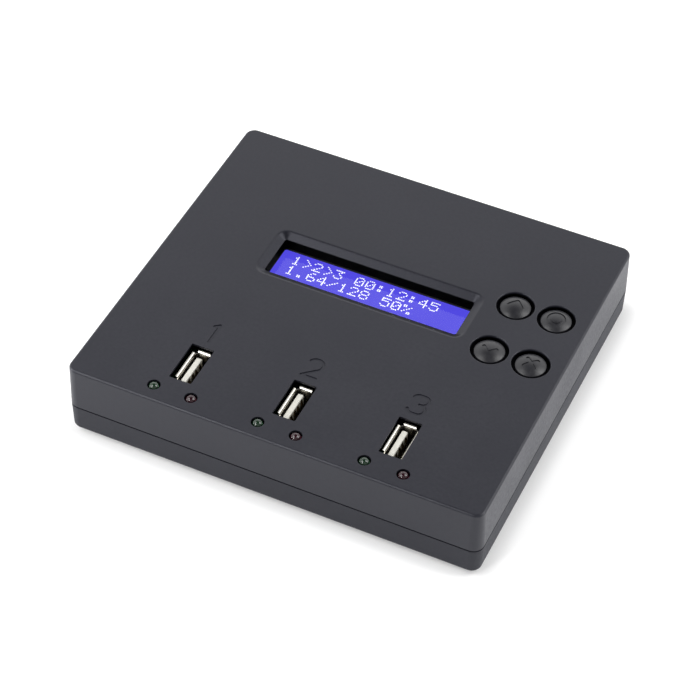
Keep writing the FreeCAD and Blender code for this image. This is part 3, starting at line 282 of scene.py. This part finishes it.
def board_lacquer(name, field, track):
    """A coated lacquer over copper tracks, with its gloss changed by handling."""
    material, tree, shader = new_material(name, Coat_Weight=0.4, Coat_Roughness=0.15)
    tracks = use(tree, copper)
    gloss = remap(tree, use(tree, handling), (0.0, 1.0), (0.28, 0.42))
    tree.links.new(blend(tree, tracks, field, track), shader.inputs["Base Color"])
    tree.links.new(gloss, shader.inputs["Roughness"])
    raise_surface(tree, shader, tracks, 0.00002)
    return material


main_green = board_lacquer("main board lacquer", (0.008, 0.085, 0.03, 1), (0.02, 0.17, 0.06, 1))
display_green = board_lacquer("display board lacquer", (0.007, 0.07, 0.028, 1), (0.018, 0.15, 0.055, 1))
wear(main_green, "main_board")
wear(display_green, "display_board")

# What is soldered to the boards
# Two chips in matt black packages on tinned leads, a drawn crystal can, four aluminium capacitors, drops of
# black resin over bare chips, and a pin header between the boards.
chip_black = moulded(
    "chip package", (0.012, 0.012, 0.013, 1), (0.022, 0.022, 0.023, 1), 0.5, 0.62, 5000.0, 0.00001)
tinned = plated(
    "tinned lead", (0.62, 0.62, 0.60, 1), (0.45, 0.45, 0.44, 1), 0.28, 0.45, (1, 1, 1), 2500.0, 0.00001)
aluminium = plated(
    "drawn can", (0.70, 0.71, 0.73, 1), (0.55, 0.56, 0.58, 1), 0.2, 0.35, (1, 1, 0.1), 2500.0, 0.000006)
resin_black = moulded(
    "black resin", (0.006, 0.006, 0.006, 1), (0.012, 0.012, 0.012, 1), 0.12, 0.25, 900.0, 0.00003)
header_black = moulded(
    "black header", (0.015, 0.015, 0.016, 1), (0.03, 0.03, 0.03, 1), 0.45, 0.55, 3500.0, 0.00001)
nylon = moulded(
    "natural nylon", (0.62, 0.60, 0.54, 1), (0.75, 0.73, 0.68, 1), 0.4, 0.5, 2500.0, 0.00001)
wear(chip_black, "controller_chip", "memory_chip")
wear(tinned, "chip_leads", "lamp_leads", "switch_terminals", "inlet_terminals")
wear(aluminium, "crystal", "capacitors")
wear(resin_black, "display_blobs")
wear(header_black, "header_strip", "lamp_spacers")
wear(nylon, "display_supports")

# The three sockets
# Each is a nickel-plated steel tube with flared lips round a white moulding. Four gold-flashed contact strips
# lie on its tongue.
sockets = ("1", "2", "3")
nickel = plated(
    "nickel-plated shell", (0.68, 0.66, 0.61, 1), (0.54, 0.52, 0.47, 1), 0.16, 0.30, (1, 1, 0.12), 2600.0,
    0.0000008)
gold = plated(
    "gold-flashed contact", (0.42, 0.30, 0.15, 1), (0.30, 0.21, 0.11, 1), 0.20, 0.34, (1, 1, 0.1), 3000.0,
    0.000004)
ivory = moulded(
    "white socket moulding", (0.78, 0.77, 0.70, 1), (0.86, 0.85, 0.79, 1), 0.30, 0.42, 3500.0, 0.000008)

# Down inside the tube the plating, the moulding and the contacts are run to darker colours with depth: painted
# shade.
painted_depth_shade = (
    (nickel, 0.0243, 0.0218, (0.15, 0.14, 0.115, 1)),
    (ivory, 0.0243, 0.0225, (0.30, 0.28, 0.23, 1)),
    (gold, 0.0232, 0.0205, (0.15, 0.105, 0.055, 1)),
)
for material, top, bottom, colour in painted_depth_shade:
    paint_shade_colour(material, use(material.node_tree, level_mask, Start=top, Full=bottom), colour)
for number in sockets:
    wear(nickel, f"socket_shell_{number}")
    wear(ivory, f"socket_insulator_{number}")
    wear(gold, f"socket_contacts_{number}")
wear(gold, "header_pins")

# The six lamps
# Each is one clear resin casting, tinted green or red, on a black spacer. Unlit, it is dark inside and shows the
# room on its dome.


def tinted(name, dark, light):
    """A clear resin with a tint and a glossy skin."""
    material, tree, shader = new_material(name, Transmission_Weight=0.8, IOR=1.53)
    marks = use(tree, handling, Patch_Scale=300.0, Fleck_Scale=1500.0)
    shade(tree, shader, marks, dark, light, 0.02, 0.05)
    return material


green_resin = tinted("green lamp resin", (0.035, 0.10, 0.05, 1), (0.055, 0.14, 0.075, 1))
red_resin = tinted("red lamp resin", (0.085, 0.018, 0.032, 1), (0.115, 0.028, 0.046, 1))
for number in sockets:
    wear(green_resin, f"green_lamp_{number}")
    wear(red_resin, f"red_lamp_{number}")

# The metal inside each lamp
# A small bright cup on the end of one lead holds the chip. It is stamped from the steel of the lead and cast
# into the resin.


def clear_selection():
    """Leaves edit mode and selects nothing."""
    if bpy.context.object and bpy.context.object.mode != "OBJECT":
        bpy.ops.object.mode_set(mode="OBJECT")
    bpy.ops.object.select_all(action="DESELECT")


def settle(piece):
    """Puts a finished piece's place into its mesh, and its object at the origin."""
    clear_selection()
    bpy.context.view_layer.objects.active = piece
    piece.select_set(True)
    bpy.ops.object.transform_apply(location=True, rotation=True, scale=True)
    return piece


def select_faces(piece, keep):
    """Goes into edit mode with only the faces selected that the rule keeps."""
    bpy.context.view_layer.objects.active = piece
    bpy.ops.object.mode_set(mode="EDIT")
    bpy.ops.mesh.select_mode(type="FACE")
    bpy.ops.mesh.select_all(action="DESELECT")
    bpy.ops.object.mode_set(mode="OBJECT")
    for face in piece.data.polygons:
        face.select = keep(face)
    bpy.ops.object.mode_set(mode="EDIT")


cup_radius, cup_height = 0.0006, 0.0009
cup_wall, cup_hollow, hollow_taper = 0.00015, 0.0005, 0.55
cup_off_centre, cup_below_dome = 0.0001, 0.0034
cup_metal = plated(
    "bright lead frame", (0.42, 0.41, 0.39, 1), (0.30, 0.29, 0.28, 1), 0.15, 0.28, (1, 1, 0.1), 3000.0, 0.000003)
for number in sockets:
    for colour in ("green", "red"):
        low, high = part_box(f"{colour}_lamp_{number}")
        middle = (low + high) / 2
        clear_selection()
        cup_place = (middle.x - cup_off_centre, middle.y, high.z - cup_below_dome)
        bpy.ops.mesh.primitive_cylinder_add(vertices=24, radius=cup_radius, depth=cup_height, location=cup_place)
        cup = settle(bpy.context.object)
        cup.name = f"{colour}_lamp_cup_{number}"
        select_faces(cup, lambda face: face.normal.z > 0.9)
        bpy.ops.mesh.inset(thickness=cup_wall)
        bpy.ops.mesh.extrude_region_move(TRANSFORM_OT_translate={"value": (0, 0, -cup_hollow)})
        bpy.ops.transform.resize(value=(hollow_taper, hollow_taper, 1))
        bpy.ops.object.mode_set(mode="OBJECT")
        cup.data.materials.append(cup_metal)
        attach(cup, "case")

# The four buttons and their switches
# A domed black cap with a sunk mark slides in the roof and stands on the plunger of a small switch. The switch
# is a black moulding under a bright steel plate, with a snap dome inside.
buttons = ("up", "select", "down", "cancel")
cap_black = moulded(
    "button cap black", (0.012, 0.012, 0.015, 1), (0.016, 0.016, 0.020, 1), 0.30, 0.40, 5200.0, 0.000008,
    Specular_IOR_Level=0.46)
switch_black = moulded(
    "switch moulding", (0.013, 0.013, 0.014, 1), (0.025, 0.025, 0.025, 1), 0.4, 0.5, 4000.0, 0.00001)
bright = plated(
    "bright spring steel", (0.74, 0.74, 0.73, 1), (0.58, 0.58, 0.57, 1), 0.16, 0.3, (1, 0.15, 1), 2600.0,
    0.000005)
for name in buttons:
    wear(cap_black, f"button_cap_{name}")
    wear(switch_black, f"switch_plunger_{name}", f"switch_body_{name}")
wear(bright, "switch_steel_covers", "inlet_pin")

# The four snap domes
# Each is a thin disc of spring steel, pressed to a shallow dome. It lies in its switch and goes flatter when the
# button is pressed.
dome_sheet = 0.00012
for name in buttons:
    low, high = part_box(f"switch_dome_{name}")
    middle = (low + high) / 2
    rise, half = high.z - low.z, (high.x - low.x) / 2
    ball = (half**2 + rise**2) / (2 * rise)
    clear_selection()
    ball_place = (middle.x, middle.y, high.z - ball)
    bpy.ops.mesh.primitive_uv_sphere_add(segments=40, ring_count=60, radius=ball, location=ball_place)
    dome = settle(bpy.context.object)
    dome.name = f"snap_dome_{name}"
    bpy.ops.object.mode_set(mode="EDIT")
    bpy.ops.mesh.select_all(action="SELECT")
    bpy.ops.mesh.bisect(plane_co=(middle.x, middle.y, low.z), plane_no=(0, 0, 1), clear_inner=True)
    bpy.ops.object.mode_set(mode="OBJECT")
    sheet = dome.modifiers.new("sheet", "SOLIDIFY")
    sheet.thickness = dome_sheet
    sheet.offset = -1
    bpy.ops.object.modifier_apply(modifier=sheet.name)
    for corner in dome.data.vertices:
        corner.co.z = max(corner.co.z, low.z)
    bpy.ops.object.shade_smooth_by_angle(angle=math.radians(40))
    dome.data.materials.append(bright)
    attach(dome, "case")
    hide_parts(f"switch_dome_{name}")
    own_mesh(dome)

# The power inlet
# A black moulding behind the back wall, bored for a round plug. It is of the same plastic as the switches, and
# the pin in its middle is as bright as their steel.
wear(switch_black, "inlet_housing")

# The display
# A folded black steel frame holds two glasses over a milky light block, with grey rubber strips that join the
# glass to the board. The liquid between the glasses glows blue and leaves its lit dots white.
bezel_black = moulded(
    "bezel paint", (0.010, 0.010, 0.011, 1), (0.02, 0.02, 0.021, 1), 0.35, 0.45, 3000.0, 0.00001)
zebra_grey = moulded(
    "contact rubber", (0.35, 0.35, 0.38, 1), (0.45, 0.45, 0.48, 1), 0.6, 0.7, 2500.0, 0.00001)
milky = moulded(
    "milky light block", (0.70, 0.74, 0.92, 1), (0.80, 0.83, 0.97, 1), 0.3, 0.4, 2000.0, 0.00001)
wear(bezel_black, "display_bezel")
wear(zebra_grey, "zebra_strips")
wear(milky, "display_backlight")

front_glass, tree, shader = new_material(
    "polarised front glass", Transmission_Weight=1.0, IOR=1.38, Specular_IOR_Level=0.15)
marks = use(tree, handling, Patch_Scale=50.0, Fleck_Scale=1500.0)
shade(tree, shader, marks, (0.97, 0.97, 1.0, 1), (0.99, 0.99, 1.0, 1), 0.02, 0.05)
wear(front_glass, "display_front_glass")


def looked_at(tree, shader):
    """Lets a glowing face be seen, also through glass, without lighting what stands round it."""
    rays = put(tree, "ShaderNodeLightPath")
    seen = calculate(tree, "MAXIMUM", rays.outputs["Is Camera Ray"], rays.outputs["Is Transmission Ray"])
    bounces = calculate(tree, "ADD", rays.outputs["Glossy Depth"], rays.outputs["Diffuse Depth"])
    direct = calculate(tree, "LESS_THAN", bounces, 0.5)
    tree.links.new(calculate(tree, "MULTIPLY", seen, direct), shader.inputs["Emission Strength"])


def glowing(name, dim, full, scale, **values):
    """A face that glows, a little unevenly."""
    material, tree, shader = new_material(name, **values)
    looked_at(tree, shader)
    cloud = noise(tree, object_place(tree), scale, 1.0)
    tree.links.new(blend(tree, cloud, dim, full), shader.inputs["Emission Color"])
    return material


lit_blue = glowing(
    "lit blue glass", (0.078, 0.064, 0.75, 1), (0.106, 0.086, 0.86, 1), 30.0,
    Base_Color=(0.05, 0.05, 0.3, 1), Roughness=0.3, Specular_IOR_Level=0.1)
wear(lit_blue, "display_rear_glass")

# The lit dots of the display
# Each character is a grid of five by seven square dots. They lie between the glasses, so here they are thin
# white plates on the rear glass. The text is plain numbers.
dot_pitch = (0.00062, 0.00057)
dot_size = (0.00044, 0.00040)
dot_thickness = 0.00002
dot_gap = 0.00001
character_pitch = 0.00366
line_pitch = 0.00475
first_dot = (-0.02966, 0.01804)
text_lines = ("1>2>3 00:12:45", "1.64/128 50%")
dot_rows = {
    "0": (14, 17, 19, 21, 25, 17, 14),
    "1": (4, 12, 4, 4, 4, 4, 14),
    "2": (14, 17, 1, 2, 4, 8, 31),
    "3": (31, 2, 4, 2, 1, 17, 14),
    "4": (2, 6, 10, 18, 31, 2, 2),
    "5": (31, 16, 30, 1, 1, 17, 14),
    "6": (6, 8, 16, 30, 17, 17, 14),
    "8": (14, 17, 17, 14, 17, 17, 14),
    ">": (8, 4, 2, 1, 2, 4, 8),
    ":": (0, 12, 12, 0, 12, 12, 0),
    ".": (0, 0, 0, 0, 0, 12, 12),
    "/": (0, 1, 2, 4, 8, 16, 0),
    "%": (24, 25, 2, 4, 8, 19, 3),
    " ": (0, 0, 0, 0, 0, 0, 0),
}


def lit_dots():
    """The middle of every lit dot, on the plan of the display."""
    found = []
    for line, text in enumerate(text_lines):
        for column, character in enumerate(text):
            for row, bits in enumerate(dot_rows[character]):
                for place in range(5):
                    if bits & (16 >> place):
                        x = first_dot[0] + column * character_pitch + place * dot_pitch[0]
                        y = first_dot[1] - line * line_pitch - row * dot_pitch[1]
                        found.append((x, y))
    return found


def raise_faces(piece, height):
    """Extrudes the whole of a flat piece upwards and turns its faces out."""
    bpy.context.view_layer.objects.active = piece
    bpy.ops.object.mode_set(mode="EDIT")
    bpy.ops.mesh.select_all(action="SELECT")
    bpy.ops.mesh.extrude_region_move(TRANSFORM_OT_translate={"value": (0, 0, height)})
    bpy.ops.mesh.select_all(action="SELECT")
    bpy.ops.mesh.normals_make_consistent(inside=False)
    bpy.ops.object.mode_set(mode="OBJECT")


dot_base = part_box("display_rear_glass")[1].z + dot_gap
clear_selection()
bpy.ops.mesh.primitive_plane_add(size=1, location=(0, 0, 0))
pattern_dot = bpy.context.object
pattern_dot.scale = (dot_size[0], dot_size[1], 1)
settle(pattern_dot)
raise_faces(pattern_dot, dot_thickness)
dots = []
for x, y in lit_dots():
    dot = pattern_dot.copy()
    dot.data = pattern_dot.data.copy()
    dot.data.transform(Matrix.Translation((x, y, dot_base)))
    bpy.context.collection.objects.link(dot)
    dots.append(dot)
bpy.data.objects.remove(pattern_dot)
clear_selection()
for dot in dots:
    dot.select_set(True)
bpy.context.view_layer.objects.active = dots[0]
bpy.ops.object.join()
display_dots = bpy.context.object
display_dots.name = "display_dots"
lit_white = glowing(
    "lit dots", (0.80, 0.84, 0.98, 1), (0.98, 0.98, 1.0, 1), 400.0,
    Base_Color=(0.8, 0.8, 0.85, 1), Roughness=0.4)
display_dots.data.materials.append(lit_white)
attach(display_dots, "case")

# The bare plate under the case
# A satin silver film with nothing printed on it, stuck into the shallow seat in the middle of the floor.
plate_size = (0.0588, 0.0348)
plate_base, plate_sheet = 0.00162, 0.00015
plate_corner = 0.0018
clear_selection()
bpy.ops.mesh.primitive_plane_add(size=1, location=(0, 0, plate_base))
plate = bpy.context.object
plate.name = "bare_plate"
plate.scale = (plate_size[0], plate_size[1], 1)
settle(plate)
bpy.ops.object.mode_set(mode="EDIT")
bpy.ops.mesh.select_all(action="SELECT")
bpy.ops.mesh.bevel(offset=plate_corner, segments=6, affect="VERTICES")
bpy.ops.object.mode_set(mode="OBJECT")
raise_faces(plate, plate_sheet)
film = plated(
    "satin film", (0.70, 0.70, 0.71, 1), (0.58, 0.58, 0.59, 1), 0.35, 0.5, (1, 0.1, 1), 1500.0, 0.000006)
plate.data.materials.append(film)
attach(plate, "case")

# The room
# A white table that keeps the shadow of the case, with a painted shadow close round its foot, and a pale sky
# that is brightest behind the case and dark overhead. A soft light stands high and another one low on each side,
# and a narrow one lights the front edge.
case_reach = (0.066, 0.060, 0.0)
painted_shadow_reach = (0.0015, 0.0085)
lift_in_painted_shadow, lift_far_off = 0.20, 0.53
lift_in_mirrors = 0.455
clear_selection()
bpy.ops.mesh.primitive_plane_add(size=8, location=(0, 0, 0))
floor = bpy.context.object
floor.name = "floor"
floor_white, tree, shader = new_material(
    "table white", Roughness=0.7, Base_Color=(0.76, 0.76, 0.76, 1), Specular_IOR_Level=0.2)
# The camera sees the table lifted to white, but less so close round the case: a painted shadow, laid by distance
# from the case, that deepens its real shadow there.
folded = put(tree, "ShaderNodeVectorMath", {0: object_place(tree)}, operation="ABSOLUTE")
past_case = put(tree, "ShaderNodeVectorMath", {0: folded.outputs[0], 1: case_reach}, operation="SUBTRACT")
outside = put(tree, "ShaderNodeVectorMath", {0: past_case.outputs[0], 1: (0.0, 0.0, 0.0)}, operation="MAXIMUM")
away = put(tree, "ShaderNodeVectorMath", {0: outside.outputs[0]}, operation="LENGTH")
lift_with_painted_shadow = remap(
    tree, away.outputs["Value"], painted_shadow_reach, (lift_in_painted_shadow, lift_far_off), interpolation_type="SMOOTHSTEP")
rays = put(tree, "ShaderNodeLightPath")
to_camera = calculate(tree, "MULTIPLY", rays.outputs["Is Camera Ray"], lift_with_painted_shadow)
mirrored = calculate(tree, "MAXIMUM", rays.outputs["Is Glossy Ray"], rays.outputs["Is Transmission Ray"])
to_mirror = calculate(tree, "MULTIPLY", mirrored, lift_in_mirrors)
tint = blend(tree, rays.outputs["Is Camera Ray"], cool_tint, (1.0, 1.0, 1.0, 1))
tree.links.new(tint, shader.inputs["Emission Color"])
tree.links.new(calculate(tree, "ADD", to_camera, to_mirror), shader.inputs["Emission Strength"])
# From below the table is clear, so that the underside of the case can be seen.
face = put(tree, "ShaderNodeNewGeometry")
clear_below = put(tree, "ShaderNodeBsdfTransparent")
two_sides = {"Fac": face.outputs["Backfacing"], 1: shader.outputs["BSDF"], 2: clear_below.outputs["BSDF"]}
both = put(tree, "ShaderNodeMixShader", two_sides)
tree.links.new(both.outputs["Shader"], tree.nodes["Material Output"].inputs["Surface"])
floor.data.materials.append(floor_white)

# The sky's strength: it grows towards the far side, falls near the point overhead, and is less for diffuse rays.
far_side = (-0.406, 0.914, 0.0)
overhead = (-0.084, 0.19, 0.978)
near_strength, far_strength, overhead_strength = 0.50, 1.46, 0.05
diffuse_share = 0.62
world = bpy.data.worlds.new("pale room")
bpy.context.scene.world = world
world.use_nodes = True
tree = world.node_tree
rays = put(tree, "ShaderNodeLightPath")
direction = put(tree, "ShaderNodeTexCoord").outputs["Generated"]
behind = put(tree, "ShaderNodeVectorMath", {0: direction, 1: far_side}, operation="DOT_PRODUCT")
depth = remap(
    tree, behind.outputs["Value"], (-0.2, 0.4), (near_strength, far_strength), interpolation_type="SMOOTHSTEP")
above = put(tree, "ShaderNodeVectorMath", {0: direction, 1: overhead}, operation="DOT_PRODUCT")
fall = remap(
    tree, above.outputs["Value"], (0.80, 0.96), (1.0, overhead_strength), interpolation_type="SMOOTHSTEP")
room = calculate(tree, "MULTIPLY", depth, fall)
seen = calculate(tree, "MAXIMUM", rays.outputs["Is Camera Ray"], room)
dim = calculate(tree, "MULTIPLY", room, diffuse_share)
choice = {"Factor": rays.outputs["Is Diffuse Ray"], "A": seen, "B": dim}
strength = put(tree, "ShaderNodeMix", choice, data_type="FLOAT")
tree.links.new(strength.outputs["Result"], tree.nodes["Background"].inputs["Strength"])
tree.nodes["Background"].inputs["Color"].default_value = (1, 1, 1, 1)


def soft_light(name, azimuth, elevation, distance, size, power):
    """A rectangular soft light that faces the object. Azimuth 0 is in front, 90 on the right."""
    a, e = math.radians(azimuth), math.radians(elevation)
    towards = Vector((math.sin(a) * math.cos(e), -math.cos(a) * math.cos(e), math.sin(e)))
    data = bpy.data.lights.new(name, "AREA")
    data.shape = "RECTANGLE"
    data.size, data.size_y = size
    data.energy = power
    lamp = bpy.data.objects.new(name, data)
    lamp.location = towards * distance
    lamp.rotation_mode = "QUATERNION"
    lamp.rotation_quaternion = towards.to_track_quat("Z", "Y")
    bpy.context.scene.collection.objects.link(lamp)


soft_light("soft light right", 120, 48, 1.4, (0.65, 0.9), 8.6)
soft_light("soft light left", -62, 53, 1.4, (0.65, 0.9), 8.6)
soft_light("low light right", 100, 6, 1.4, (0.5, 0.4), 6.5)
soft_light("low light left", -62, 12, 0.35, (0.15, 0.12), 0.45)
soft_light("edge light", -24, 38, 1.4, (0.25, 0.7), 5.0)

# The camera
# It stands in front and to the right, 46 degrees up, and is turned a little about its own line of sight.
line_of_sight = Vector((-0.2830, 0.6367, -0.7173))
roll = Quaternion((0, 0, 1), math.radians(1.408))
camera = bpy.data.objects.new("camera", bpy.data.cameras.new("camera"))
camera.location = (0.21076, -0.47857, 0.54608)
camera.rotation_mode = "QUATERNION"
camera.rotation_quaternion = line_of_sight.to_track_quat("-Z", "Y") @ roll
camera.data.sensor_width = 36.0
camera.data.lens = 123.07
camera.data.clip_start = 0.01
bpy.context.scene.collection.objects.link(camera)
bpy.context.scene.camera = camera
bpy.context.scene.view_settings.view_transform = "Standard"
